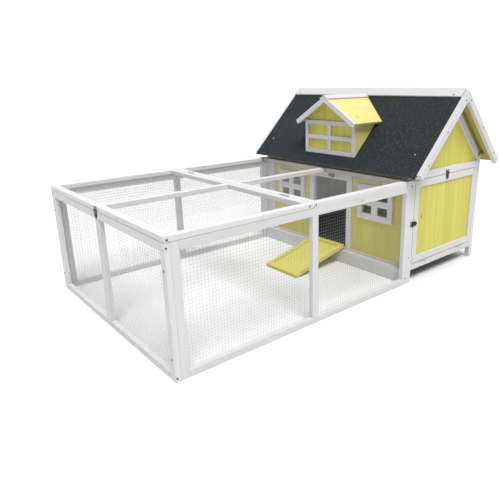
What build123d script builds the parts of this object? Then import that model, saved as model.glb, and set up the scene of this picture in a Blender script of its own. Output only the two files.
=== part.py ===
from build123d import *
import os
from math import asin, atan2, cos, degrees, hypot, radians, sin, tan

os.makedirs("parts", exist_ok=True)

# Chicken coop: a small timber house with a saddle roof and a dormer, and a mesh run in front of it.
# X runs along the ridge, -Y is the run's end, +Y the house's back and +Z is up. The origin is on the
# ground at the middle of the sill that closes the run below the house.

# ---------------------------------------------------------------- driving dimensions, millimetres
run_width = 1050            # over the two side panels
run_length = 1226           # front panel's face to the house
run_height = 465            # side and front panels
timber_width = 30           # face of the run's rails and stiles
timber_depth = 20           # thickness of every panel frame
bottom_rail = 25            # lowest rail of a run panel
end_stile = 60              # wide stile beside the house
lid_length = 607            # front part of the run's top, which opens
lid_gap = 1.2               # the closed lid stands this far off the panels
sill_height = 67
ease = 1.2                  # small chamfer along sawn edges
joint_gap = 0.2             # hairline where two timbers butt
mesh_thick = 0.5
mesh_margin = 2             # mesh stops this far inside a panel's edge

house_width = 1020
house_depth = 546
house_rail_low = 58         # underside of the house's lowest rails
house_rail = 28
front_rail_top = 78
post_width = 25
board_thick = 10
board_recess = 7            # face of the boards behind the face of their frame
board_width = 76            # face of one tongue-and-groove board
wall_stile = 53
front_wall_top = 512
front_top_rail = 32

roof_pitch = 45.6
eave_height = 584.2         # top of the barge boards over the house's front and back
eave_overhang = 63.5        # barge board past the front and the back, measured level
roof_overhang = 65          # past the gable walls, barge board included
barge_width = 33
barge_thick = 20
felt_thick = 2
felt_drop = 1.2             # felt lies this far below the top of the barge boards
felt_lip = 16               # felt past the eave
eave_setback = 42           # eave batten behind the boards' lower ends
roof_board = 11
cap_width = 44
cap_thick = 8
rake_width = 35

doorway_width = 232
doorway_top = 429
casing = 34                 # posts and head round the doorway
window_width = 212
window_height = 170
window_low = 260
window_offset = 300         # from the house's middle
window_border = 27
window_post = 36
window_rail = 30
window_thick = 12

door_stile = 33
door_top_gap = 2.2
gable_rail_low = 482.5      # fixed rail above the side door
gable_rail = 34
hinge_seam = 3              # gap that holds two hinge leaves

ramp_side_gap = 1.5
ramp_end_gap = 3
ramp_board = 11
ramp_batten = 6
ramp_border = 26

dormer_front = 30           # dormer's face in front of the run's end plane
dormer_width = 346
dormer_pitch = 30.7
dormer_drop = 25            # dormer's ridge below the roof's
dormer_eave = 204           # ridge to barge tip, measured level
dormer_overhang = 39
dormer_barge = 23.5
dormer_barge_thick = 12
dormer_bar = 21
dormer_gable = 119          # dormer's ridge above its window frame
dormer_frame_thick = 8
dormer_cap = 28
dormer_cap_thick = 6

hinge_length = 50
hinge_barrel = 2.6          # outer radius
hinge_pin = 1.2
pin_play = 0.05             # radial, pin in barrel
leaf_thick = 1.2
knuckle_gap = 0.4

hasp_width = 26
hasp_leaf = 17
hasp_strap = 31
hasp_barrel = 2.4
hasp_lobe = 6               # radius of the leaf's round corners
strap_round = 10.3          # radius of the strap's end
strap_shoulder = 7          # full width of the strap ends this far from the pin
strap_tab = 3               # radius of the finger tab
hasp_screw = 2.3
hasp_screw_thick = 0.9
strap_thick = 1.4
staple_reach = 17           # hinge axis to staple
turn_length = 13
turn_width = 4.4

# ---------------------------------------------------------------- places worked out from them
half_run = run_width / 2
seam_y = 1.5 * timber_depth                 # run ends and house begins
wall_y = seam_y - timber_depth              # face of the house's front wall
sill_front = -timber_depth / 2
front_y = seam_y - run_length
back_y = seam_y + house_depth
ridge_y = seam_y + house_depth / 2
top_z = run_height + timber_depth
lid_back = front_y + lid_length
panel_front = front_y + timber_depth        # side panels start behind the front panel
inner_x = half_run - timber_depth
house_right = half_run
house_left = house_right - house_width
house_x = (house_left + house_right) / 2
pitch = radians(roof_pitch)
ridge_height = eave_height + house_depth / 2 * tan(pitch)       # top of the barge boards at the ridge
roof_slope = (house_depth / 2 + eave_overhang) / cos(pitch)     # length of a barge board
dormer_ridge = ridge_height - dormer_drop
dormer_window_top = dormer_ridge - dormer_gable
roof_left = house_left - roof_overhang
roof_right = house_right + roof_overhang
house_rail_top = house_rail_low + house_rail
gable_rail_top = gable_rail_low + gable_rail
wall_left_in = house_left + wall_stile
wall_right_in = house_x + (house_x - wall_left_in)
floor_top = front_rail_top


def bar(x, y, z):
    with Locations(((x[0] + x[1]) / 2, (y[0] + y[1]) / 2, (z[0] + z[1]) / 2)):
        Box(x[1] - x[0], y[1] - y[0], z[1] - z[0])


def cut(x, y, z):
    with Locations(((x[0] + x[1]) / 2, (y[0] + y[1]) / 2, (z[0] + z[1]) / 2)):
        Box(x[1] - x[0], y[1] - y[0], z[1] - z[0], mode=Mode.SUBTRACT)


def inside(low, high, gap=joint_gap):
    return (low + gap, high - gap)


def strips(low, high, width=board_width):
    # equal boards near the given width that fill a space, with a hairline between them
    count = max(1, round((high - low) / width))
    step = (high - low) / count
    return [inside(low + i * step, low + (i + 1) * step) for i in range(count)]


def prism(plane, points, amount, mode=Mode.ADD):
    with BuildSketch(plane) as outline:
        with BuildLine():
            Polyline(*points, close=True)
        make_face()
    extrude(outline.sketch, amount=amount, mode=mode)


def slope(side, along, depth):
    # point (y, z) on a roof slope: side -1 is the front, along runs down from the ridge line
    y = ridge_y + side * (along * cos(pitch) - depth * sin(pitch))
    return (y, ridge_height - along * sin(pitch) - depth * cos(pitch))


def slope_z(y, depth):
    return ridge_height - depth / cos(pitch) - abs(y - ridge_y) * tan(pitch)


def slope_run(side, start, end, top, bottom):
    # closed outline of a layer of one slope; at the ridge it is cut upright, a hairline from the other slope
    head = ridge_y + side * joint_gap
    head_top = slope(side, start, top) if start else (head, slope_z(head, top))
    head_low = slope(side, start, bottom) if start else (head, slope_z(head, bottom))
    return [head_top, head_low, slope(side, end, bottom), slope(side, end, top)]


def slope_y(z, depth, side):
    return ridge_y + side * (ridge_height - depth / cos(pitch) - z) / tan(pitch)


def save(piece, label):
    piece.part.label = label
    export_step(piece.part, f"parts/{label}.step")


# ================================================================ run
mid_stile_y = ((front_y + seam_y) / 2 - timber_width / 2, (front_y + seam_y) / 2 + timber_width / 2)
rail_heights = [(0, bottom_rail), (run_height - timber_width, run_height)]

with BuildPart() as run_front_frame:
    depth = (front_y, panel_front)
    for x in [(-half_run, -half_run + timber_width), (half_run - timber_width, half_run)]:
        bar(x, depth, (0, run_height))
    for z in rail_heights:
        bar(inside(-half_run + timber_width, half_run - timber_width), depth, z)
    bar((-timber_width / 2, timber_width / 2), depth, inside(bottom_rail, run_height - timber_width))
    chamfer(run_front_frame.edges(), ease)
save(run_front_frame, "run_front_frame")

for label, side in (("right", 1), ("left", -1)):
    thick = tuple(sorted((side * inner_x, side * half_run)))
    front_stile = (panel_front + joint_gap, panel_front + timber_width)
    end_stile_y = (seam_y - end_stile, seam_y)
    with BuildPart() as run_side_frame:
        bar(thick, front_stile, (0, run_height))
        bar(thick, end_stile_y, (0, top_z))
        for z in rail_heights:
            bar(thick, inside(front_stile[1], end_stile_y[0]), z)
        bar(thick, mid_stile_y, inside(bottom_rail, run_height - timber_width))
        chamfer(run_side_frame.edges(), ease)
    save(run_side_frame, f"run_{label}_frame")

    mesh_x = tuple(sorted((side * (inner_x - joint_gap), side * (inner_x - joint_gap - mesh_thick))))
    with BuildPart() as run_side_mesh:
        mesh_y = (panel_front + 3 * mesh_margin, wall_y - mesh_margin - timber_depth)
        bar(mesh_x, mesh_y, (mesh_margin, run_height - 2 * mesh_margin))
    save(run_side_mesh, f"run_{label}_mesh")

with BuildPart() as run_front_mesh:
    mesh_half = inner_x - 2 * mesh_margin
    mesh_y = (panel_front + joint_gap, panel_front + joint_gap + mesh_thick)
    bar((-mesh_half, mesh_half), mesh_y, (mesh_margin, run_height - 2 * mesh_margin))
save(run_front_mesh, "run_front_mesh")

with BuildPart() as run_sill:
    bar(inside(-inner_x, inner_x), (sill_front, -sill_front - joint_gap), (0, sill_height))
    chamfer(run_sill.edges(), ease)
save(run_sill, "run_sill")


def top_frame(y0, y1, back_inset, underside=run_height):
    # side stiles at full length, rails between them and one bar along the middle
    z = (underside, top_z)
    for x in [(-half_run, -half_run + timber_width), (half_run - timber_width, half_run)]:
        bar(x, (y0, y1 - back_inset), z)
    rail_x = inside(-half_run + timber_width, half_run - timber_width)
    bar(rail_x, (y0, y0 + timber_width), z)
    bar(rail_x, (y1 - timber_width, y1), z)
    bar((-timber_width / 2, timber_width / 2), inside(y0 + timber_width, y1 - timber_width), z)


lid_low = run_height + lid_gap
mesh_top_half = inner_x - 4 * mesh_margin

with BuildPart() as run_lid_frame:
    top_frame(front_y, lid_back - hinge_seam / 2, 0, lid_low)
    chamfer(run_lid_frame.edges(), ease)
save(run_lid_frame, "run_lid_frame")

with BuildPart() as run_lid_mesh:
    mesh_y = (panel_front + 3 * mesh_margin, lid_back - 2 * mesh_margin)
    bar((-mesh_top_half, mesh_top_half), mesh_y, (lid_low - joint_gap - mesh_thick, lid_low - joint_gap))
save(run_lid_mesh, "run_lid_mesh")

top_back = wall_y - joint_gap
with BuildPart() as run_top_frame:
    top_frame(lid_back + hinge_seam / 2, top_back, top_back - (seam_y - end_stile) + joint_gap)
    chamfer(run_top_frame.edges(), ease)
save(run_top_frame, "run_top_frame")

with BuildPart() as run_top_mesh:
    mesh_z = (run_height - joint_gap - mesh_thick, run_height - joint_gap)
    bar((-mesh_top_half, mesh_top_half), (lid_back + 2 * mesh_margin, sill_front - mesh_margin), mesh_z)
save(run_top_mesh, "run_top_mesh")

# ================================================================ house walls and floor
frame_y = (wall_y, seam_y)
board_y = (wall_y + board_recess, wall_y + board_recess + board_thick)
front_rail_z = (front_wall_top - front_top_rail, front_wall_top)
doorway = (house_x - doorway_width / 2, house_x + doorway_width / 2)
casing_out = (doorway[0] - casing, doorway[1] + casing)
head_top = doorway_top + casing

with BuildPart() as front_wall_frame:
    for x in [(house_left, wall_left_in), (wall_right_in, inner_x - joint_gap)]:
        bar(x, inside(*frame_y), (0, front_wall_top))
    between = inside(wall_left_in, wall_right_in)
    bar(between, inside(*frame_y), (house_rail_low, front_rail_top))
    bar(between, inside(*frame_y), front_rail_z)
    chamfer(front_wall_frame.edges(), ease)
save(front_wall_frame, "front_wall_frame")

with BuildPart() as doorway_casing:
    casing_y = inside(*frame_y)
    for x in [(casing_out[0], doorway[0]), (doorway[1], casing_out[1])]:
        bar(x, casing_y, inside(front_rail_top, doorway_top))
    bar(casing_out, casing_y, (doorway_top, head_top))
    chamfer(doorway_casing.edges(), ease)
save(doorway_casing, "doorway_casing")

window_z = (window_low, window_low + window_height)
window_xs = {"left": house_x - window_offset, "right": house_x + window_offset}

with BuildPart() as front_wall_boards:
    board_z = inside(front_rail_top, front_rail_z[0])
    for x in strips(wall_left_in, casing_out[0]) + strips(casing_out[1], wall_right_in):
        bar(x, board_y, board_z)
    bar(inside(*casing_out), board_y, inside(head_top, front_rail_z[0]))
    chamfer(front_wall_boards.edges().filter_by(Axis.Z), ease)
    pane_half = window_width / 2 - window_border
    for x in window_xs.values():
        pane_z = (window_z[0] + window_border, window_z[1] - window_border)
        cut((x - pane_half, x + pane_half), board_y, pane_z)
save(front_wall_boards, "front_wall_boards")

with BuildPart() as window_frames:
    thick = (board_y[0] - joint_gap - window_thick, board_y[0] - joint_gap)
    for x in window_xs.values():
        for stile in [(x - window_width / 2, x - pane_half), (x + pane_half, x + window_width / 2)]:
            bar(stile, thick, window_z)
        for rail in [(window_z[0], pane_z[0]), (pane_z[1], window_z[1])]:
            bar(inside(x - pane_half, x + pane_half), thick, rail)
        bar((x - window_post / 2, x + window_post / 2), thick, inside(*pane_z))
        middle = (sum(window_z) / 2 - window_rail / 2, sum(window_z) / 2 + window_rail / 2)
        bar(inside(x - pane_half, x - window_post / 2), thick, middle)
        bar(inside(x + window_post / 2, x + pane_half), thick, middle)
    chamfer(window_frames.edges(), ease)
save(window_frames, "window_frames")

with BuildPart() as window_meshes:
    for x in window_xs.values():
        reach = window_width / 2 - window_border / 2
        mesh_y = (board_y[1] + joint_gap, board_y[1] + joint_gap + mesh_thick)
        bar((x - reach, x + reach), mesh_y, (window_z[0] + window_border / 2, window_z[1] - window_border / 2))
save(window_meshes, "window_meshes")

back_post_y = (back_y - post_width, back_y)
back_post_top = slope_z(back_y, barge_width) - joint_gap
with BuildPart() as house_posts:
    for x in [(house_left, house_left + post_width), (house_right - post_width, house_right)]:
        bar(x, back_post_y, (0, back_post_top))
    front_post_y = (seam_y + joint_gap, seam_y + post_width)
    post_in = timber_depth + joint_gap
    for x in [
        (house_left + post_in, house_left + post_in + post_width),
        (house_right - post_in - post_width, house_right - post_in),
    ]:
        bar(x, front_post_y, (floor_top + joint_gap, gable_rail_top))
    chamfer(house_posts.edges(), ease)
save(house_posts, "house_posts")

floor_x = inside(house_left + timber_depth, house_right - timber_depth)
with BuildPart() as house_floor:
    for y in strips(seam_y, back_y - post_width):
        bar(floor_x, y, (floor_top - 12, floor_top))
    chamfer(house_floor.edges().filter_by(Axis.X), ease)
save(house_floor, "house_floor")

back_x = inside(house_left + post_width, house_right - post_width)
back_frame_y = (back_y - timber_depth, back_y)
back_rail_top = back_post_top - ease
with BuildPart() as back_wall_frame:
    bar(back_x, back_frame_y, (house_rail_low, house_rail_top))
    bar(back_x, back_frame_y, (back_rail_top - front_top_rail, back_rail_top))
    back_mid_z = inside(house_rail_top, back_rail_top - front_top_rail)
    bar((house_x - timber_width / 2, house_x + timber_width / 2), back_frame_y, back_mid_z)
    chamfer(back_wall_frame.edges(), ease)
save(back_wall_frame, "back_wall_frame")

with BuildPart() as back_wall_boards:
    back_board_y = (back_y - board_recess - board_thick, back_y - board_recess)
    left_half = strips(back_x[0], house_x - timber_width / 2)
    right_half = strips(house_x + timber_width / 2, back_x[1])
    for x in left_half + right_half:
        bar(x, back_board_y, back_mid_z)
    chamfer(back_wall_boards.edges().filter_by(Axis.Z), ease)
save(back_wall_boards, "back_wall_boards")

# ================================================================ gable walls
gable_front = seam_y + joint_gap
gable_back = back_y - post_width - joint_gap


def rake(side):
    # outline of the sloping rail under one roof slope, down to the gable's level rail
    low = gable_rail_top + joint_gap
    end = gable_front if side < 0 else back_y - joint_gap
    tail_z = slope_z(end, barge_width)
    points = [(ridge_y, slope_z(ridge_y, barge_width)), (ridge_y, slope_z(ridge_y, barge_width + rake_width))]
    points.append((slope_y(low, barge_width + rake_width, side), low))
    foot = end if side < 0 else gable_back
    points.append((foot, low))
    points.append((foot, tail_z if side < 0 else slope_z(gable_back, barge_width)))
    return [(y + side * joint_gap / 2, z - joint_gap) if abs(y - ridge_y) < 1 else (y, z) for y, z in points]


def gable_triangle():
    low = gable_rail_top + joint_gap
    depth = barge_width + rake_width + joint_gap
    return [(slope_y(low, depth, -1), low), (slope_y(low, depth, 1), low), (ridge_y, slope_z(ridge_y, depth))]


for label, face, side in (("right", house_right, 1), ("left", house_left, -1)):
    inner = face - side * timber_depth
    thick = tuple(sorted((inner, face)))
    board_x = tuple(sorted((face - side * board_recess, face - side * (board_recess + board_thick))))
    with BuildPart() as gable_frame:
        bar(thick, (gable_front, gable_back), (house_rail_low, house_rail_top))
        bar(thick, (gable_front, gable_back), (gable_rail_low, gable_rail_top))
        for slope_side in (-1, 1):
            prism(Plane.YZ.offset(thick[0]), rake(slope_side), timber_depth)
        if side < 0:
            for y in [(gable_front, gable_front + door_stile), (gable_back - door_stile, gable_back)]:
                bar(thick, y, inside(house_rail_top, gable_rail_low))
        chamfer(gable_frame.edges(), ease)
    save(gable_frame, f"{label}_gable_frame")

    with BuildPart() as gable_boards:
        prism(Plane.YZ.offset(board_x[0]), gable_triangle(), board_thick)
        seams = round((gable_back - gable_front) / board_width)
        step = (gable_back - gable_front) / seams
        for i in range(1, seams):
            y = gable_front + i * step
            cut(board_x, (y - joint_gap, y + joint_gap), (gable_rail_top, ridge_height))
        if side < 0:
            for y in strips(gable_front + door_stile, gable_back - door_stile):
                bar(board_x, y, inside(house_rail_top, gable_rail_low))
        chamfer(gable_boards.edges().filter_by(Axis.Z), ease)
    save(gable_boards, f"{label}_gable_boards")

# ================================================================ side door in the right gable
door_y = (seam_y + hinge_seam, gable_back - door_top_gap)
door_z = (house_rail_top + hinge_seam, gable_rail_low - door_top_gap)
door_x = (house_right - timber_depth, house_right)
with BuildPart() as side_door_frame:
    for y in [(door_y[0], door_y[0] + door_stile), (door_y[1] - door_stile, door_y[1])]:
        bar(door_x, y, door_z)
    for z in [(door_z[0], door_z[0] + door_stile), (door_z[1] - door_stile, door_z[1])]:
        bar(door_x, inside(door_y[0] + door_stile, door_y[1] - door_stile), z)
    chamfer(side_door_frame.edges(), ease)
save(side_door_frame, "side_door_frame")

with BuildPart() as side_door_boards:
    door_board_x = (house_right - board_recess - board_thick, house_right - board_recess)
    for y in strips(door_y[0] + door_stile, door_y[1] - door_stile):
        bar(door_board_x, y, inside(door_z[0] + door_stile, door_z[1] - door_stile))
    chamfer(side_door_boards.edges().filter_by(Axis.Z), ease)
save(side_door_boards, "side_door_boards")

# ================================================================ roof
board_top = felt_drop + felt_thick
batten_top = board_top + roof_board
roof_in = (roof_left + barge_thick + joint_gap, roof_right - barge_thick - joint_gap)
roof_in_length = roof_in[1] - roof_in[0]

with BuildPart() as roof_boards:
    count = round(roof_slope / board_width)
    step = roof_slope / count
    for side in (-1, 1):
        for i in range(count):
            start = i * step + joint_gap if i else 0
            outline = slope_run(side, start, (i + 1) * step - joint_gap, board_top, batten_top)
            prism(Plane.YZ.offset(roof_in[0]), outline, roof_in_length)
save(roof_boards, "roof_boards")

with BuildPart() as roof_battens:
    eave = roof_slope - eave_setback - timber_width
    rafters = [roof_in[0], house_left, house_right - timber_depth, roof_in[1] - timber_depth]
    for side in (-1, 1):
        rafter = slope_run(side, 0, eave - joint_gap, batten_top + joint_gap, barge_width)
        for x in rafters:
            prism(Plane.YZ.offset(x), rafter, timber_depth)
        edge = slope_run(side, eave, eave + timber_width, batten_top + joint_gap, barge_width)
        prism(Plane.YZ.offset(roof_in[0]), edge, roof_in_length)
save(roof_battens, "roof_battens")

with BuildPart() as roof_felt:
    for side in (-1, 1):
        sheet = slope_run(side, 0, roof_slope + felt_lip, felt_drop, board_top - joint_gap)
        prism(Plane.YZ.offset(roof_in[0]), sheet, roof_in_length)
save(roof_felt, "roof_felt")

with BuildPart() as barge_boards:
    for x in (roof_left, roof_right - barge_thick):
        for side in (-1, 1):
            board = slope_run(side, 0, roof_slope, 0, barge_width)
            prism(Plane.YZ.offset(x), board, barge_thick)
    chamfer(barge_boards.edges(), ease)
save(barge_boards, "barge_boards")

with BuildPart() as ridge_cap:
    for side in (-1, 1):
        strip = slope_run(side, 0, cap_width, felt_drop - joint_gap - cap_thick, felt_drop - joint_gap)
        prism(Plane.YZ.offset(roof_in[0]), strip, roof_in_length)
    chamfer(ridge_cap.edges(), ease)
save(ridge_cap, "ridge_cap")

# ================================================================ dormer
dormer_x = house_x
dormer_y = seam_y - dormer_front
half_dormer = dormer_width / 2
lean = radians(dormer_pitch)
dormer_board_y = (dormer_y + dormer_frame_thick + joint_gap, dormer_y + dormer_frame_thick + board_thick)
dormer_low = slope_z(dormer_y, felt_drop - joint_gap)
dormer_back = slope(-1, cap_width, felt_drop - cap_thick)[0] - 2


def dormer_z(x, depth):
    return dormer_ridge - depth / cos(lean) - abs(x - dormer_x) * tan(lean)


def dormer_run(side, end, top, bottom):
    # outline (x, z) of a layer of one dormer slope, from the ridge to its square-cut tip
    def at(along, depth):
        x = dormer_x + side * (along * cos(lean) - depth * sin(lean))
        return (x, dormer_ridge - along * sin(lean) - depth * cos(lean))

    ridge = dormer_x + side * joint_gap
    return [(ridge, dormer_z(ridge, top)), (ridge, dormer_z(ridge, bottom)), at(end, bottom), at(end, top)]


def above_roof():
    # everything under the felt's surface is cut away
    far = dormer_y - 3 * dormer_overhang
    surface = felt_drop - joint_gap
    under = [(far, 0), (ridge_y, 0), (ridge_y, slope_z(ridge_y, surface)), (far, slope_z(far, surface))]
    prism(Plane.YZ.offset(roof_left), under, roof_right - roof_left, Mode.SUBTRACT)


def front_plane(y):
    # sketches on it are in (x, z) and extrude towards +Y
    return Plane(origin=(0, y, 0), x_dir=(1, 0, 0), z_dir=(0, -1, 0))


slope_length = dormer_eave / cos(lean)
dormer_roof_board = 10
with BuildPart() as dormer_roof:
    near = dormer_y - dormer_overhang + dormer_barge_thick + joint_gap
    for side in (-1, 1):
        outline = dormer_run(side, slope_length, 0.5, 0.5 + dormer_roof_board)
        prism(front_plane(near), outline, near - dormer_back)
    above_roof()
save(dormer_roof, "dormer_roof")

with BuildPart() as dormer_barge_boards:
    near = dormer_y - dormer_overhang
    for side in (-1, 1):
        prism(front_plane(near), dormer_run(side, slope_length, 0, dormer_barge), -dormer_barge_thick)
    chamfer(dormer_barge_boards.edges(), ease)
save(dormer_barge_boards, "dormer_barge_boards")

with BuildPart() as dormer_ridge_cap:
    near = dormer_y - dormer_overhang
    for side in (-1, 1):
        outline = dormer_run(side, dormer_cap, -dormer_cap_thick, -joint_gap)
        prism(front_plane(near), outline, near - dormer_back)
    above_roof()
save(dormer_ridge_cap, "dormer_ridge_cap")

under_roof = 0.5 + dormer_roof_board + joint_gap
with BuildPart() as dormer_front_boards:
    reach = half_dormer - board_thick - joint_gap
    gable = [(dormer_x - reach, dormer_low), (dormer_x + reach, dormer_low)]
    gable += [(dormer_x + reach, dormer_z(dormer_x + reach, under_roof))]
    gable += [(dormer_x, dormer_z(dormer_x, under_roof))]
    gable += [(dormer_x - reach, dormer_z(dormer_x - reach, under_roof))]
    prism(front_plane(dormer_board_y[0]), gable, dormer_board_y[0] - dormer_board_y[1])
    above_roof()
    seams = round(2 * reach / 66)
    for i in range(1, seams):
        x = dormer_x - reach + 2 * reach * i / seams
        cut((x - joint_gap, x + joint_gap), dormer_board_y, (dormer_low, dormer_ridge))
    chamfer(dormer_front_boards.edges().filter_by(Axis.Z), ease)
save(dormer_front_boards, "dormer_front_boards")

with BuildPart() as dormer_cheeks:
    for side in (-1, 1):
        outer = dormer_x + side * half_dormer
        x0 = min(outer, outer - side * board_thick)
        cheek_top = dormer_z(outer, under_roof)
        far = slope_y(cheek_top, felt_drop, -1)
        near = dormer_board_y[0]
        cheek = [(near, dormer_low), (near, cheek_top), (far, cheek_top)]
        prism(Plane.YZ.offset(x0), cheek, board_thick)
    above_roof()
save(dormer_cheeks, "dormer_cheeks")

with BuildPart() as dormer_window_frame:
    face = (dormer_y, dormer_y + dormer_frame_thick)
    low = dormer_low
    for x in (dormer_x - half_dormer, dormer_x + half_dormer - dormer_bar):
        bar((x, x + dormer_bar), face, (low, dormer_window_top))
    mid = (low + dormer_window_top) / 2
    levels = [(low, low + dormer_bar), (mid - dormer_bar / 2, mid + dormer_bar / 2)]
    levels.append((dormer_window_top - dormer_bar, dormer_window_top))
    for z in levels:
        bar(inside(dormer_x - half_dormer + dormer_bar, dormer_x + half_dormer - dormer_bar), face, z)
    for below, above in zip(levels, levels[1:]):
        bar((dormer_x - dormer_bar / 2, dormer_x + dormer_bar / 2), face, inside(below[1], above[0]))
    chamfer(dormer_window_frame.edges(), ease)
    above_roof()
save(dormer_window_frame, "dormer_window_frame")

# ================================================================ ramp, which folds up to close the doorway
ramp_length = doorway_top - front_rail_top - 2 * ramp_end_gap
ramp_width = doorway_width - 2 * ramp_side_gap
ramp_axis_y = wall_y - hinge_barrel
ramp_axis_z = front_rail_top + hinge_seam / 2
ramp_foot = ramp_length + ramp_end_gap - hinge_seam / 2      # axis to the ramp's far end
ground_gap = 0.4
reach = hypot(hinge_barrel, ramp_foot)
ramp_angle = atan2(hinge_barrel, ramp_foot) + asin((ramp_axis_z - ground_gap) / reach)
ramp_plane = Plane(
    origin=(house_x, ramp_axis_y, ramp_axis_z),
    x_dir=(1, 0, 0),
    z_dir=(0, -sin(ramp_angle), cos(ramp_angle)),
)
ramp_head = hinge_seam / 2                                   # axis to the ramp's near end
ramp_low = hinge_barrel
with BuildPart(ramp_plane) as ramp_boards:
    for x in strips(-ramp_width / 2, ramp_width / 2):
        bar(x, (-ramp_foot, -ramp_head), (ramp_low, ramp_low + ramp_board))
save(ramp_boards, "ramp_boards")

with BuildPart(ramp_plane) as ramp_battens:
    level = (ramp_low + ramp_board + joint_gap, ramp_low + ramp_board + ramp_batten)
    for x in [(-ramp_width / 2, -ramp_width / 2 + ramp_border), (ramp_width / 2 - ramp_border, ramp_width / 2)]:
        bar(x, (-ramp_foot, -ramp_head), level)
    cross = inside(-ramp_width / 2 + ramp_border, ramp_width / 2 - ramp_border)
    for y in [(-ramp_foot, -ramp_foot + ramp_border), (-ramp_head - ramp_border, -ramp_head)]:
        bar(cross, y, level)
    chamfer(ramp_battens.edges(), ease)
save(ramp_battens, "ramp_battens")

# ================================================================ hinges
# A hinge has a fixed leaf with two outer knuckles, a moving leaf with the middle knuckle and a pin.
# In a hinge's plane X runs along the pin, -Y into the seam and Z from the fixed timber to the moving one.
third = hinge_length / 3


def knuckle(x0, x1, radius, height=0, mode=Mode.ADD):
    with Locations(((x0 + x1) / 2, 0, height)):
        Cylinder(radius, x1 - x0, rotation=(0, 90, 0), mode=mode)


def leaf_plate(side):
    low, high = sorted((side * 0.1, side * (0.1 + leaf_thick)))
    bar((-hinge_length / 2, hinge_length / 2), (-hinge_barrel - 14, 0), (low, high))


lid_hinge_x = half_run - 170
lid_axis_z = top_z + hinge_barrel
door_axis_x = house_right + hinge_barrel
door_axis_z = house_rail_top + hinge_seam / 2
door_hinge_ys = (seam_y + 100, seam_y + 405)
ramp_hinge_x = ramp_width / 2 - 40
lid_spots = [(x, lid_back, lid_axis_z) for x in (-lid_hinge_x, lid_hinge_x)]
lid_planes = [Plane(origin=spot, x_dir=(1, 0, 0), z_dir=(0, -1, 0)) for spot in lid_spots]
door_spots = [(door_axis_x, y, door_axis_z) for y in door_hinge_ys]
door_planes = [Plane(origin=spot, x_dir=(0, -1, 0), z_dir=(0, 0, 1)) for spot in door_spots]
ramp_spots = [(house_x + side * ramp_hinge_x, ramp_axis_y, ramp_axis_z) for side in (-1, 1)]
ramp_planes = [Plane(origin=spot, x_dir=(-1, 0, 0), z_dir=(0, 0, 1)) for spot in ramp_spots]
lowered = (0, -cos(ramp_angle), -sin(ramp_angle))
ramp_down_planes = [Plane(origin=spot, x_dir=(-1, 0, 0), z_dir=lowered) for spot in ramp_spots]

with BuildPart(*lid_planes, *door_planes, *ramp_planes) as hinge_leaves:
    leaf_plate(-1)
    for x in [(-hinge_length / 2, -third / 2), (third / 2, hinge_length / 2)]:
        knuckle(*x, hinge_barrel)
    middle = third / 2 + knuckle_gap
    clear = hinge_barrel + knuckle_gap
    cut((-middle, middle), (-clear, clear), (-clear, clear))
    knuckle(-hinge_length / 2, hinge_length / 2, hinge_pin + pin_play, mode=Mode.SUBTRACT)
save(hinge_leaves, "hinge_leaves")

with BuildPart(*lid_planes, *door_planes, *ramp_planes) as hinge_pins:
    knuckle(-hinge_length / 2 + ease, hinge_length / 2 - ease, hinge_pin)
save(hinge_pins, "hinge_pins")

for label, planes in (("lid", lid_planes), ("side_door", door_planes), ("ramp", ramp_down_planes)):
    with BuildPart(*planes) as moving_leaves:
        leaf_plate(1)
        knuckle(-third / 2, third / 2, hinge_barrel)
        for x in [(-hinge_length, -third / 2), (third / 2, hinge_length)]:
            cut(x, (-clear, clear), (-clear, clear))
        knuckle(-third / 2, third / 2, hinge_pin + pin_play, mode=Mode.SUBTRACT)
    save(moving_leaves, f"{label}_hinge_leaves")

# ================================================================ hasps
# In a hasp's plane X runs along its pin, Y from the strap towards the leaf and Z away from the timber.
hasp_third = hasp_width / 3
lobe_x = hasp_width / 2 - hasp_lobe
lobe_y = hasp_leaf - hasp_lobe
tab_y = strap_tab - hasp_strap
round_y = tab_y + strap_round
slot_middle = -staple_reach
slot_tall = turn_width + 2.2
strap_low = 1.7
turn_low = strap_low + strap_thick + 0.4
staple_radius = 1.6
base_half = 8

lid_hasp = Plane(origin=(0, front_y, top_z - hasp_leaf), x_dir=(1, 0, 0), z_dir=(0, -1, 0))
door_hasp_z = gable_rail_low + 3
door_hasp_y = (door_y[0] + door_y[1]) / 2 - 10
door_hasp = Plane(origin=(house_right, door_hasp_y, door_hasp_z), x_dir=(0, 1, 0), z_dir=(1, 0, 0))
side_hasp_y = seam_y + hinge_seam + base_half + 1 - staple_reach
side_hasp_z = 283
side_hasp = Plane(origin=(half_run, side_hasp_y, side_hasp_z), x_dir=(0, 0, 1), z_dir=(1, 0, 0))


def disc(x, y, radius, z):
    with Locations((x, y, sum(z) / 2)):
        Cylinder(radius, z[1] - z[0])


def hasp_leaf_piece():
    # a plate with two round lobes, one for each screw
    bar((-hasp_width / 2, hasp_width / 2), (0, lobe_y), (0, strap_thick))
    for side in (-1, 1):
        disc(side * lobe_x, lobe_y, hasp_lobe, (0, strap_thick))
    for x in [(-hasp_width / 2, -hasp_third / 2), (hasp_third / 2, hasp_width / 2)]:
        knuckle(*x, hasp_barrel, hasp_barrel)
    gap = hasp_third / 2 + knuckle_gap
    cut((-gap, gap), (-hasp_barrel - knuckle_gap, hasp_barrel + knuckle_gap), (0, 2 * hasp_barrel))
    knuckle(-hasp_width / 2, hasp_width / 2, hinge_pin, hasp_barrel)


with BuildPart(door_hasp, side_hasp) as hasp_leaves:
    hasp_leaf_piece()
save(hasp_leaves, "hasp_leaves")

with BuildPart(lid_hasp) as lid_hasp_leaf:
    hasp_leaf_piece()
save(lid_hasp_leaf, "lid_hasp_leaf")

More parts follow.
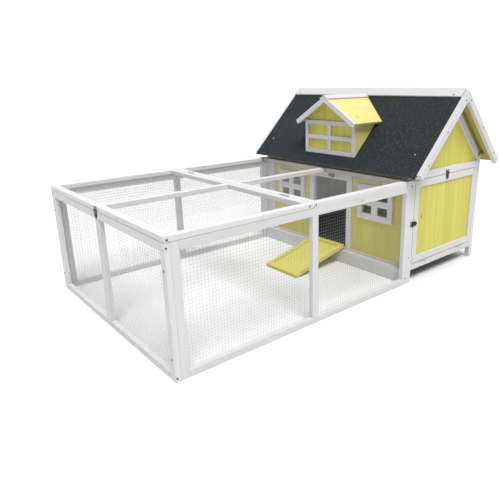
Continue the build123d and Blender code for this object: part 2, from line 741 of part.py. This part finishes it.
for label, plane in (("lid", lid_hasp), ("side_door", door_hasp), ("run_side", side_hasp)):
    with BuildPart(plane) as strap:
        flat = (strap_low, strap_low + strap_thick)
        bar((-hasp_width / 2, hasp_width / 2), (-strap_shoulder, 0), flat)
        bar((-strap_round, strap_round), (round_y, -strap_shoulder), flat)
        disc(0, round_y, strap_round, flat)
        disc(0, tab_y, strap_tab, flat)
        knuckle(-hasp_third / 2, hasp_third / 2, hasp_barrel, hasp_barrel)
        for x in [(-hasp_width, -hasp_third / 2), (hasp_third / 2, hasp_width)]:
            cut(x, (-hasp_barrel - knuckle_gap, hasp_barrel), (0, 2 * hasp_barrel))
        knuckle(-hasp_third / 2, hasp_third / 2, hinge_pin + pin_play, hasp_barrel, Mode.SUBTRACT)
        half = turn_length / 2 + 0.8
        cut((-half, half), (slot_middle - slot_tall / 2, slot_middle + slot_tall / 2), flat)
    save(strap, f"{label}_hasp_strap")

    with BuildPart(plane) as staple_base:
        reach = (slot_middle - base_half, slot_middle + base_half)
        bar((-base_half, base_half), reach, (0, 1.2))
        with Locations((0, slot_middle, 0.6)):
            Cylinder(staple_radius + pin_play, 2, mode=Mode.SUBTRACT)
    save(staple_base, f"{label}_staple_base")

    with BuildPart(plane) as staple:
        with Locations((0, slot_middle, turn_low / 2 + 0.1)):
            Cylinder(staple_radius, turn_low)
        tall = (slot_middle - turn_width / 2, slot_middle + turn_width / 2)
        bar((-turn_length / 2, turn_length / 2), tall, (turn_low, turn_low + 2))
    save(staple, f"{label}_staple")

# turn button on the doorway's head, which holds the folded ramp
button_z = doorway_top + casing / 2
button_spot = (house_x, wall_y + joint_gap, button_z)
button_plane = Plane(origin=button_spot, x_dir=(1, 0, 0), z_dir=(0, -1, 0))
button_length = 34
button_half = 8
with BuildPart(button_plane) as doorway_button:
    bar((-button_half, button_length), (-button_half, button_half), (0.6, 0.6 + 2))
    with Locations((0, 0, 1.6)):
        Cylinder(staple_radius + pin_play, 3, mode=Mode.SUBTRACT)
    chamfer(doorway_button.edges().filter_by(Axis.Y), 3)
save(doorway_button, "doorway_button")

with BuildPart(button_plane) as button_pivot:
    with Locations((0, 0, 1.55)):
        Cylinder(staple_radius, 3.1)
    with Locations((0, 0, 3.6)):
        Cylinder(4, 1)
save(button_pivot, "button_pivot")

# ================================================================ screw heads
head_radius = 3.4
head_thick = 1.2


def heads(spots, direction):
    # round heads lying on a face that looks along direction
    for spot in spots:
        centre = tuple(p + d * head_thick / 2 for p, d in zip(spot, direction))
        turn = (0, 90, 0) if direction[0] else (90, 0, 0)
        with Locations(centre):
            Cylinder(head_radius, head_thick, rotation=turn)


def slope_heads(xs, side, along, depth):
    # heads lying on a layer of a roof slope
    for x in xs:
        with Locations(Location((x, *slope(side, along, depth - head_thick / 2)), (-side * roof_pitch, 0, 0))):
            Cylinder(head_radius, head_thick)


def hasp_heads(plane):
    # small heads on the two lobes of a hasp's leaf
    for side in (-1, 1):
        with Locations(plane * Location((side * lobe_x, lobe_y, strap_thick + hasp_screw_thick / 2))):
            Cylinder(hasp_screw, hasp_screw_thick)


with BuildPart() as screws:
    for plane in (door_hasp, side_hasp):
        hasp_heads(plane)
    for side in (-1, 1):
        sides = [(side * half_run, front_y + 6, run_height - 16), (side * half_run, front_y + 6, 14)]
        sides += [(side * half_run, lid_back + 8, top_z - 9)]
        sides += [(side * half_run, seam_y - 14 - 2 * i * 13, z) for i, z in enumerate((top_z - 5, 30))]
        sides += [(side * half_run, seam_y - 22, run_height - 6), (side * half_run, seam_y - 20, 126)]
        heads(sides, (side, 0, 0))
        heads([(side * (half_run - 15), front_y, z) for z in (run_height - 90, 77)], (0, -1, 0))
        barge_x = house_x + side * (roof_right - house_x)
        for slope_side in (-1, 1):
            spots = [(barge_x, *slope(slope_side, along, barge_width / 2)) for along in (47, 230, 414)]
            heads(spots, (side, 0, 0))
            slope_heads([house_x + side * 490], slope_side, roof_slope - 105, felt_drop)
            slope_heads([house_x + side * 515], slope_side, cap_width - 9, felt_drop - joint_gap - cap_thick)
save(screws, "screws")

with BuildPart() as lid_screws:
    hasp_heads(lid_hasp)
    for side in (-1, 1):
        spots = [(side * half_run, front_y + 11, top_z - 11), (side * half_run, lid_back - 24, top_z - 9)]
        heads(spots, (side, 0, 0))
save(lid_screws, "lid_screws")
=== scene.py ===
import random
from math import cos, radians, sin

import bmesh
import bpy
import numpy as np
from mathutils import Matrix, Vector


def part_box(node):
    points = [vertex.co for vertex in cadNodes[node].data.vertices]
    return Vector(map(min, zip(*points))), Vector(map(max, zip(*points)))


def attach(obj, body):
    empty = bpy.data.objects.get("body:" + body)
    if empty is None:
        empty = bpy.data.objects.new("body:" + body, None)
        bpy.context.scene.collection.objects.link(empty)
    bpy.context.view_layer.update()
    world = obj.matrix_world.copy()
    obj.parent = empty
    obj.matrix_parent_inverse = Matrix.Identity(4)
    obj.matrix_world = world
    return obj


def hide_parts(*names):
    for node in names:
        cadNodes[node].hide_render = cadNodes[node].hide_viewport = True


# Chicken coop with a wire run: whitewashed pine frames, lemon-stained boards, mineral felt on the roof,
# half-inch welded mesh and black japanned hasps.

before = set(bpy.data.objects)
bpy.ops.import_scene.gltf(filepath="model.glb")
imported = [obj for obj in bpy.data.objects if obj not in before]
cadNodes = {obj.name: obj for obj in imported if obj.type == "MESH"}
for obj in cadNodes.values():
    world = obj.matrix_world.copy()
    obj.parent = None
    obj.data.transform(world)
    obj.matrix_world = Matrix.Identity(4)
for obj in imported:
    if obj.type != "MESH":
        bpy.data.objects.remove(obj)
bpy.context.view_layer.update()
rng = random.Random(7)
print("frame loaded:", len(cadNodes), "nodes")

mm = 0.001


def linearColour(hexCode):
    parts = [int(hexCode[i:i + 2], 16) / 255 for i in (1, 3, 5)]
    return (*(c / 12.92 if c <= 0.04045 else ((c + 0.055) / 1.055) ** 2.4 for c in parts), 1.0)


def grey(value):
    return (value, value, value, 1.0)


def perMetre(size):
    # object coordinates are in metres, so this is the scale of a pattern whose size is in millimetres
    return 1000 / size


noiseRange = (0.3, 0.7)      # a noise seldom leaves this range


def startMaterial(name, colour, roughness, metallic=0.0, specular=0.5):
    material = bpy.data.materials.new(name)
    material.use_nodes = True
    shader = material.node_tree.nodes["Principled BSDF"]
    shader.inputs["Base Color"].default_value = linearColour(colour)
    shader.inputs["Roughness"].default_value = roughness
    shader.inputs["Metallic"].default_value = metallic
    shader.inputs["Specular IOR Level"].default_value = specular
    material.diffuse_color = linearColour(colour)
    return material, shader


def addNode(owner, kind, links=(), stops=(), **values):
    # a value named after a property is set on the node, any other on the input of that name;
    # stops are the places and colours of a ramp, from its low end
    tree = owner.node_tree
    node = tree.nodes.new(kind)
    for key, value in values.items():
        if hasattr(node, key):
            setattr(node, key, value)
        else:
            node.inputs[key.replace("_", " ")].default_value = value
    for i, (position, colour) in enumerate(stops):
        elements = node.color_ramp.elements
        stop = elements[i] if i < len(elements) else elements.new(position)
        stop.position, stop.color = position, colour
    for socket, source in links:
        tree.links.new(source, node.inputs[socket])
    return node


timber = {
    "yearRing": 4.0,         # mm between the dark lines of the late wood
    "ringLength": 150.0,     # mm over which a line keeps its course
    "ringGroup": 0.30,       # the rings show in groups of three or so
    "ringWander": 0.6,       # how far a line strays from its course
    "fibre": 0.9,            # mm, brush and fibre streaks
    "fibreOctave": 0.5,      # their noise starts at twice that size, and its octaves fill in the finer ones
    "fibreRelief": 0.4,      # mm that the streaks stand out
    "blotch": 14.0,          # mm, soft darker bands across a board
    "knotSpacing": 100.0,    # mm between knots
    "knotStretch": 0.55,     # along the grain a knot is longer and the next one further, by one over this
    "knotSize": 3.4,         # mm to the edge of a knot's dark heart
    "glossRange": 0.08,      # roughness either side of the finish's own
    "specular": 0.35,
    # how strongly each pattern's tint covers the stain, from the low end of its noise to the high end
    "ringMask": [(0.42, grey(0)), (0.60, grey(0.6)), (0.66, grey(0.25)), (0.80, grey(0.5))],
    "fibreMask": [(0.35, grey(0)), (0.75, grey(0.5))],
    "blotchMask": [(0.35, grey(0)), (0.70, grey(0.6))],
    "knotFade": [(0.0, 1.0), (1.0, 0.6), (2.2, 0.15), (4.0, 0.0)],      # distance in hearts, strength
}

roofTilt = radians(45.6)
dormerTilt = radians(30.7)
grainRuns = {      # a run's direction, the axis that it is turned onto, and the turn
    "x": ((1, 0, 0), "x", (0, 0, 0)),
    "y": ((0, 1, 0), "y", (0, 0, 0)),
    "z": ((0, 0, 1), "z", (0, 0, 0)),
    "frontSlope": ((0, cos(roofTilt), sin(roofTilt)), "y", (-roofTilt, 0, 0)),
    "backSlope": ((0, cos(roofTilt), -sin(roofTilt)), "y", (roofTilt, 0, 0)),
    "dormerLeft": ((cos(dormerTilt), 0, sin(dormerTilt)), "x", (0, dormerTilt, 0)),
    "dormerRight": ((cos(dormerTilt), 0, -sin(dormerTilt)), "x", (0, -dormerTilt, 0)),
}


def stainedPine(name, run, hexes, roughness, knots):
    # sawn softwood under a thin stain: faint ring lines, fine brush streaks, small knots that bleed through
    body, ringTint, streakTint, knotTint = hexes
    material, shader = startMaterial(name, body, roughness, specular=timber["specular"])
    links = material.node_tree.links

    # the board is turned so that one axis follows its grain, then the patterns are drawn out along it
    along, turn = grainRuns[run][1:]
    coords = addNode(material, "ShaderNodeTexCoord")
    turned = addNode(material, "ShaderNodeMapping", [("Vector", coords.outputs["Object"])], Rotation=turn)
    ringScale = {axis: perMetre(timber["yearRing"]) for axis in "xyz"}
    ringScale[along] = perMetre(timber["ringLength"])
    grain = addNode(material, "ShaderNodeMapping", [("Vector", turned.outputs["Vector"])],
                    Scale=tuple(ringScale.values()))
    knotScale = {axis: perMetre(timber["knotSpacing"]) for axis in "xyz"}
    knotScale[along] *= timber["knotStretch"]
    knotPlaces = addNode(material, "ShaderNodeMapping", [("Vector", turned.outputs["Vector"])],
                         Scale=tuple(knotScale.values()))

    rings = addNode(material, "ShaderNodeTexNoise", [("Vector", grain.outputs["Vector"])],
                    Scale=timber["ringGroup"], Detail=3.0, Roughness=0.62, Distortion=timber["ringWander"])
    fibres = addNode(material, "ShaderNodeTexNoise", [("Vector", grain.outputs["Vector"])],
                     Scale=timber["yearRing"] / timber["fibre"] * timber["fibreOctave"],
                     Detail=4.0, Roughness=0.7)
    blotches = addNode(material, "ShaderNodeTexNoise", [("Vector", grain.outputs["Vector"])],
                       Scale=timber["yearRing"] / timber["blotch"], Detail=2.0, Roughness=0.5)
    knot = addNode(material, "ShaderNodeTexVoronoi", [("Vector", knotPlaces.outputs["Vector"])], Scale=1.0)
    ringMask, fibreMask, blotchMask = (
        addNode(material, "ShaderNodeValToRGB", [("Fac", noise.outputs["Fac"])], timber[mask])
        for noise, mask in ((rings, "ringMask"), (fibres, "fibreMask"), (blotches, "blotchMask")))
    heart = timber["knotSize"] / timber["knotSpacing"]
    knotMask = addNode(material, "ShaderNodeValToRGB", [("Fac", knot.outputs["Distance"])],
                       [(heart * reach, grey(knots * strength)) for reach, strength in timber["knotFade"]])

    under = None               # each tint covers what lies under it where its mask is white
    for mask, tint in ((ringMask, ringTint), (fibreMask, streakTint), (blotchMask, ringTint),
                       (knotMask, knotTint)):
        cover = addNode(material, "ShaderNodeMix", [("Factor", mask.outputs["Color"])],
                        data_type="RGBA", A=linearColour(body), B=linearColour(tint))
        if under:
            links.new(under, cover.inputs["A"])
        under = cover.outputs["Result"]
    relief = addNode(material, "ShaderNodeBump", [("Height", fibreMask.outputs["Color"])],
                     Strength=0.25, Distance=timber["fibreRelief"] * mm)
    gloss = addNode(material, "ShaderNodeMapRange", [("Value", fibres.outputs["Fac"])],
                    From_Min=noiseRange[0], From_Max=noiseRange[1],
                    To_Min=roughness - timber["glossRange"], To_Max=roughness + timber["glossRange"])
    links.new(under, shader.inputs["Base Color"])
    links.new(relief.outputs["Normal"], shader.inputs["Normal"])
    links.new(gloss.outputs["Result"], shader.inputs["Roughness"])
    return material


# hexes: the stain, its tint in the rings, its tint in the streaks, its knots; knots: how far they bleed
# through; tones: the lighter and darker sticks that a batch of timber holds
finishes = {
    "whitewashedPine": {          # chalky white wash, the grain only just shows
        "hexes": ("#DBDBDD", "#CFCDCE", "#BFBCBB", "#8F867E"),
        "roughness": 0.62, "knots": 0.55, "tones": (1.0, 0.975)},
    "lemonStainedPine": {         # water-based stain, matt, each board a little its own yellow
        "hexes": ("#D5CF6B", "#C7BE58", "#BBB04D", "#6E5D26"),
        "roughness": 0.66, "knots": 0.9, "tones": (1.0, 0.985, 1.012)},
    "paintedLightLemonPine": {            # the same stain made paler: painted light for the dormer roof and cheeks, which catch more light
        "hexes": ("#E6DE94", "#DAD07E", "#CDC26E", "#7E6C34"),
        "roughness": 0.66, "knots": 0.7, "tones": (1.0, 0.985)},
    "paintedShadeLemonPine": {         # the same stain darkened to brown: painted shade on the boards and battens under the eaves
        "hexes": ("#AFA252", "#A09343", "#8F8339", "#5C4C20"),
        "roughness": 0.72, "knots": 0.9, "tones": (1.0, 0.97)},
    "barePineInShade": {                 # unpainted floor boards, made near-black as painted shade for the dark inside of the house
        "hexes": ("#453A2B", "#3A3023", "#30271C", "#221A12"),
        "roughness": 0.75, "knots": 0.8, "tones": (1.0, 0.93)},
}
madePine = {}


def toned(hexes, factor):
    # the same stain on a lighter or darker stick
    return tuple("#" + "".join(f"{min(255, round(int(h[i:i + 2], 16) * factor)):02X}" for i in (1, 3, 5))
                 for h in hexes)


def pine(finish, run, tone):
    # one material for each finish, grain run and tone, made when first asked for
    key = f"{finish}_{run}_{tone}"
    if key not in madePine:
        choice = finishes[finish]
        madePine[key] = stainedPine(key, run, toned(choice["hexes"], choice["tones"][tone]),
                                    choice["roughness"], choice["knots"])
    return madePine[key]


roofFelt = {
    "grit": 4.0,             # mm; the real slate grit is 1 mm, drawn at 4 mm to show
    "gritRelief": 0.8,       # mm
    "patch": 140.0,          # mm between paler, worn patches
    "body": "#2F3437", "worn": "#363B3E", "roughness": 0.92, "specular": 0.2,
    "gritColours": [(0.34, "#1C2022"), (0.50, "#262A2D"), (0.60, "#33383B"), (0.74, "#6E7578")],
    "patchMask": [(0.3, grey(0)), (0.8, grey(0.35))],
}


def slateGritFelt():
    # bitumen felt dressed with crushed slate: near-black and matt, speckled with pale grains
    material, shader = startMaterial("slateGritFelt", roofFelt["body"], roofFelt["roughness"],
                                     specular=roofFelt["specular"])
    links = material.node_tree.links
    coords = addNode(material, "ShaderNodeTexCoord")
    grit = addNode(material, "ShaderNodeTexNoise", [("Vector", coords.outputs["Object"])],
                   Scale=perMetre(roofFelt["grit"]), Detail=2.0, Roughness=0.7)
    grains = addNode(material, "ShaderNodeValToRGB", [("Fac", grit.outputs["Fac"])],
                     [(place, linearColour(colour)) for place, colour in roofFelt["gritColours"]])
    patch = addNode(material, "ShaderNodeTexNoise", [("Vector", coords.outputs["Object"])],
                    Scale=perMetre(roofFelt["patch"]), Detail=3.0)
    patchMask = addNode(material, "ShaderNodeValToRGB", [("Fac", patch.outputs["Fac"])],
                        roofFelt["patchMask"])
    worn = addNode(material, "ShaderNodeMix",
                   [("Factor", patchMask.outputs["Color"]), ("A", grains.outputs["Color"])],
                   data_type="RGBA", B=linearColour(roofFelt["worn"]))
    relief = addNode(material, "ShaderNodeBump", [("Height", grit.outputs["Fac"])],
                     Strength=0.5, Distance=roofFelt["gritRelief"] * mm)
    links.new(worn.outputs["Result"], shader.inputs["Base Color"])
    links.new(relief.outputs["Normal"], shader.inputs["Normal"])
    return material


metals = {      # colour, spot colour, roughness, metallic, mm between spots
    "galvanisedWire": ("#A4A6A8", "#8C8F92", 0.45, 0.3, 6.0),         # hot-dipped: dull grey, faintly patchy
    "zincPlatedSteel": ("#C9CACB", "#A3A6A8", 0.35, 0.9, 5.0),        # electroplated: bright, with soft spots
    "darkenedScrewHead": ("#55565A", "#3A3B3E", 0.5, 0.3, 3.0),       # old zinc: dark, uneven, no shine
    "blackJapannedSteel": ("#0E0F11", "#1D1E20", 0.34, 0.0, 4.0),     # baked black enamel: half gloss
}
metalMottle = {"mask": [(0.35, grey(0)), (0.7, grey(0.5))], "glossRange": 0.1}


def mottledMetal(name):
    # coated steel: an even colour with soft spots, and a roughness that follows them
    colour, spotColour, roughness, metallic, spotSize = metals[name]
    material, shader = startMaterial(name, colour, roughness, metallic)
    links = material.node_tree.links
    coords = addNode(material, "ShaderNodeTexCoord")
    spots = addNode(material, "ShaderNodeTexNoise", [("Vector", coords.outputs["Object"])],
                    Scale=perMetre(spotSize), Detail=4.0, Roughness=0.65)
    spotMask = addNode(material, "ShaderNodeValToRGB", [("Fac", spots.outputs["Fac"])], metalMottle["mask"])
    spotted = addNode(material, "ShaderNodeMix", [("Factor", spotMask.outputs["Color"])],
                      data_type="RGBA", A=linearColour(colour), B=linearColour(spotColour))
    gloss = addNode(material, "ShaderNodeMapRange", [("Value", spots.outputs["Fac"])],
                    From_Min=noiseRange[0], From_Max=noiseRange[1],
                    To_Min=roughness - metalMottle["glossRange"],
                    To_Max=roughness + metalMottle["glossRange"])
    links.new(spotted.outputs["Result"], shader.inputs["Base Color"])
    links.new(gloss.outputs["Result"], shader.inputs["Roughness"])
    return material


felt = slateGritFelt()
galvanisedWire, zincPlate, dullScrew, blackIron = (mottledMetal(name) for name in metals)
print("materials ready")

metalNodes = {
    "screws": dullScrew, "lid_screws": dullScrew, "hinge_pins": zincPlate, "hinge_leaves": zincPlate,
    "lid_hinge_leaves": zincPlate, "side_door_hinge_leaves": zincPlate, "ramp_hinge_leaves": zincPlate,
    "hasp_leaves": blackIron, "lid_hasp_leaf": blackIron, "lid_hasp_strap": blackIron,
    "side_door_hasp_strap": blackIron, "run_side_hasp_strap": blackIron, "lid_staple_base": blackIron,
    "side_door_staple_base": blackIron, "run_side_staple_base": blackIron, "lid_staple": blackIron,
    "side_door_staple": blackIron, "run_side_staple": blackIron, "doorway_button": blackIron,
    "button_pivot": blackIron, "roof_felt": felt,
}
timberNodes = {    # a node's finish, and the run of its grain where the bars' own lengths don't give it
    "whitewashedPine": {
        "run_front_frame": None, "run_left_frame": None, "run_right_frame": None, "run_lid_frame": None,
        "run_top_frame": None, "run_sill": "x", "front_wall_frame": None, "doorway_casing": None,
        "window_frames": None, "house_posts": None, "back_wall_frame": None, "right_gable_frame": None,
        "left_gable_frame": None, "side_door_frame": None, "barge_boards": None, "ridge_cap": "x",
        "dormer_barge_boards": None, "dormer_ridge_cap": "y", "dormer_window_frame": None},
    "lemonStainedPine": {
        "front_wall_boards": "z", "back_wall_boards": "z", "right_gable_boards": "z",
        "left_gable_boards": "z", "side_door_boards": "z", "dormer_front_boards": "z",
        "ramp_boards": "y", "ramp_battens": None},
    # the dormer's paler stain is painted light
    "paintedLightLemonPine": {"dormer_roof": "y", "dormer_cheeks": "z"},
    # the roof boards' darker stain is painted shade under the eaves
    "paintedShadeLemonPine": {"roof_boards": "x", "roof_battens": None},
    # the floor's near-black colour is painted shade for the house's dark inside
    "barePineInShade": {"house_floor": "x"},
}


samePlace = 5      # decimals of a metre: corners within 0.01 mm are one


def looseParts(mesh):
    # a node's faces grouped by solid: the triangles of one solid share the places of their corners
    seen = {}
    parent = list(range(len(mesh.polygons)))

    def find(i):
        while parent[i] != i:
            parent[i] = parent[parent[i]]
            i = parent[i]
        return i

    for polygon in mesh.polygons:
        for index in polygon.vertices:
            place = tuple(round(c, samePlace) for c in mesh.vertices[index].co)
            if place in seen:
                parent[find(polygon.index)] = find(seen[place])
            else:
                seen[place] = polygon.index
    groups = {}
    for polygon in mesh.polygons:
        groups.setdefault(find(polygon.index), []).append(polygon.index)
    return list(groups.values())


def partPoints(mesh, faces):
    return np.array([mesh.vertices[v].co for f in faces for v in mesh.polygons[f].vertices])


def longRun(points):
    # the grain run nearest to a bar's own length
    spread = points - points.mean(axis=0)
    longest = np.linalg.svd(spread, full_matrices=False)[2][0]
    return max(grainRuns, key=lambda run: abs(float(np.dot(longest, grainRuns[run][0]))))


def dressTimber(node, finish, run):
    # every bar or board is its own stick: its grain follows its length and its tone varies a little
    mesh = node.data
    mesh.materials.clear()
    for faces in looseParts(mesh):
        tone = rng.randrange(len(finishes[finish]["tones"]))
        material = pine(finish, run or longRun(partPoints(mesh, faces)), tone)
        if material.name not in mesh.materials:
            mesh.materials.append(material)
        slot = mesh.materials.find(material.name)
        for f in faces:
            mesh.polygons[f].material_index = slot


for name, material in metalNodes.items():
    cadNodes[name].data.materials.clear()
    cadNodes[name].data.materials.append(material)
for finish, nodes in timberNodes.items():
    for name, run in nodes.items():
        dressTimber(cadNodes[name], finish, run)

# screw heads in the frames have gone dark; those in the felt and the hasps are still bright
screwHeads = {
    "capReach": 40 * mm,      # heads nearer to the felt's top than this sit in the ridge cap
    "flattest": 2.0 * mm,     # heads on the slope measure more than this every way
    "haspHead": 5.5 * mm,     # heads in the hasps are smaller than this
}
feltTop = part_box("roof_felt")[1][2]
for name in ("screws", "lid_screws"):
    screwMesh = cadNodes[name].data
    screwMesh.materials.append(zincPlate)
    for faces in looseParts(screwMesh):
        points = partPoints(screwMesh, faces)
        size = np.ptp(points, axis=0)
        inFelt = size.min() > screwHeads["flattest"] and points[:, 2].max() < feltTop - screwHeads["capReach"]
        bright = inFelt or size.max() < screwHeads["haspHead"]
        for f in faces:
            screwMesh.polygons[f].material_index = int(bright)
print("CAD nodes dressed:", len(madePine), "timber materials")

wire = {
    "pitch": 12.7 * mm,       # half-inch welded mesh
    "radius": 0.38 * mm,      # of a wire 0.76 mm thick
    "sides": 4,               # a wire is too thin for more to show
    "weld": 0.8,              # radii that each set lies off the panel's middle, so the crossings sink in
}
wirePanels = {      # the node that each panel replaces, its body, and the axis that it faces
    "frontWire": ("run_front_mesh", "coop", 1),
    "leftWire": ("run_left_mesh", "coop", 0),
    "rightWire": ("run_right_mesh", "coop", 0),
    "lidWire": ("run_lid_mesh", "run_lid", 2),
    "topWire": ("run_top_mesh", "coop", 2),
    "windowWire": ("window_meshes", "coop", 1),
}
wireTurns = (Matrix.Rotation(radians(90), 4, "Y"), Matrix.Rotation(radians(90), 4, "X"), Matrix.Identity(4))


def addWire(shape, low, high, along, across, place, normal, offset):
    made = bmesh.ops.create_cone(shape, cap_ends=True, segments=wire["sides"], radius1=wire["radius"],
                                 radius2=wire["radius"], depth=high[along] - low[along])
    centre = [0, 0, 0]
    centre[along] = (low[along] + high[along]) / 2
    centre[across] = place
    centre[normal] = (low[normal] + high[normal]) / 2 + offset
    bmesh.ops.transform(shape, matrix=Matrix.Translation(centre) @ wireTurns[along], verts=made["verts"])


def wirePanel(name, node, body, normal, areas):
    # a grid of straight wires over each area; the crossing set lies behind the first
    u, v = [axis for axis in range(3) if axis != normal]
    offset = wire["radius"] * wire["weld"]
    shape = bmesh.new()
    for low, high in areas:
        for along, across, side in ((u, v, offset), (v, u, -offset)):
            span = high[across] - low[across] - 2 * wire["radius"]
            count = int(span / wire["pitch"])
            start = (low[across] + high[across]) / 2 - count * wire["pitch"] / 2
            for i in range(count + 1):
                addWire(shape, low, high, along, across, start + i * wire["pitch"], normal, side)
    mesh = bpy.data.meshes.new(name)
    shape.to_mesh(mesh)
    shape.free()
    mesh.materials.append(galvanisedWire)
    piece = bpy.data.objects.new(name, mesh)
    bpy.context.scene.collection.objects.link(piece)
    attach(piece, body)
    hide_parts(node)


def solidBoxes(node):
    # the corners of each solid in a node that holds several
    mesh = cadNodes[node].data
    clouds = [partPoints(mesh, faces) for faces in looseParts(mesh)]
    return [(points.min(axis=0), points.max(axis=0)) for points in clouds]


for name, (node, body, normal) in wirePanels.items():
    areas = solidBoxes(node) if name == "windowWire" else [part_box(node)]       # each window has its own pane
    wirePanel(name, node, body, normal, areas)
print("wire panels made")

stage = {      # matt backdrop paper that runs on past the horizon, a hair below the coop's feet
    "floorHalf": 60.0, "underFeet": 0.5 * mm, "floorColour": "#E7E7E7", "roughness": 0.9,
}
bpy.ops.mesh.primitive_plane_add(size=2 * stage["floorHalf"], location=(0, 0, -stage["underFeet"]))
floor = bpy.context.object
floor.name = "studioFloor"
floorMaterial = startMaterial("palePaper", stage["floorColour"], stage["roughness"], specular=0.0)[0]
floor.data.materials.append(floorMaterial)

light = {
    "keyFrom": (0.44, -0.21, 0.87), "keyPower": 3.0, "keyAngle": 28.0,     # a wide soft lamp overhead
    "brightSide": (-0.76, 0.65, 0.25),      # where the room's lit wall is
    "dim": 0.15, "bright": 1.06,            # strength of the dark wall and of the lit one
    "wallFrom": -0.5, "wallTo": 0.6,        # the turn from dark to lit, as the cosine to the lit wall
}
keyData = bpy.data.lights.new("keyLight", "SUN")
keyData.energy = light["keyPower"]
keyData.angle = radians(light["keyAngle"])
keyLight = bpy.data.objects.new("keyLight", keyData)
keyLight.rotation_euler = Vector(light["keyFrom"]).to_track_quat("Z", "Y").to_euler()
bpy.context.scene.collection.objects.link(keyLight)

world = bpy.data.worlds.new("studio")
world.use_nodes = True
background = world.node_tree.nodes["Background"]
background.inputs["Color"].default_value = grey(1)
direction = addNode(world, "ShaderNodeTexCoord")
facing = addNode(world, "ShaderNodeVectorMath", [(0, direction.outputs["Generated"])],
                 operation="DOT_PRODUCT")
facing.inputs[1].default_value = light["brightSide"]
wallLight = addNode(world, "ShaderNodeMapRange", [("Value", facing.outputs["Value"])],
                    interpolation_type="SMOOTHSTEP", From_Min=light["wallFrom"], From_Max=light["wallTo"],
                    To_Min=light["dim"], To_Max=light["bright"])
seenDirectly = addNode(world, "ShaderNodeLightPath")       # the paper behind the coop stays white
paperOrWall = addNode(world, "ShaderNodeMath",
                      [(0, wallLight.outputs["Result"]), (1, seenDirectly.outputs["Is Camera Ray"])],
                      operation="MAXIMUM")
world.node_tree.links.new(paperOrWall.outputs["Value"], background.inputs["Strength"])
bpy.context.scene.world = world
bpy.context.scene.view_settings.view_transform = "Standard"

camera = {
    "place": (1.8030, -1.8184, 0.9118),                 # metres
    "azimuth": 49.42, "down": 16.87, "roll": -0.85,     # degrees
    "lens": 35.905, "sensor": 36, "shiftX": -0.074, "shiftY": -0.0354, "farthest": 200,
}
azimuth, down, roll = (radians(camera[key]) for key in ("azimuth", "down", "roll"))
forward = Vector((-sin(azimuth) * cos(down), cos(azimuth) * cos(down), -sin(down)))
level = Vector((cos(azimuth), sin(azimuth), 0))
upright = level.cross(forward)
right = level * cos(roll) + upright * sin(roll)
up = upright * cos(roll) - level * sin(roll)
cameraData = bpy.data.cameras.new("camera")
cameraData.lens = camera["lens"]
cameraData.sensor_width = camera["sensor"]
cameraData.shift_x = camera["shiftX"]
cameraData.shift_y = camera["shiftY"]
cameraData.clip_end = camera["farthest"]
cameraObject = bpy.data.objects.new("camera", cameraData)
turned = Matrix((right, up, -forward)).transposed().to_4x4()
cameraObject.matrix_world = Matrix.Translation(camera["place"]) @ turned
bpy.context.scene.collection.objects.link(cameraObject)
bpy.context.scene.camera = cameraObject
print("stage ready")
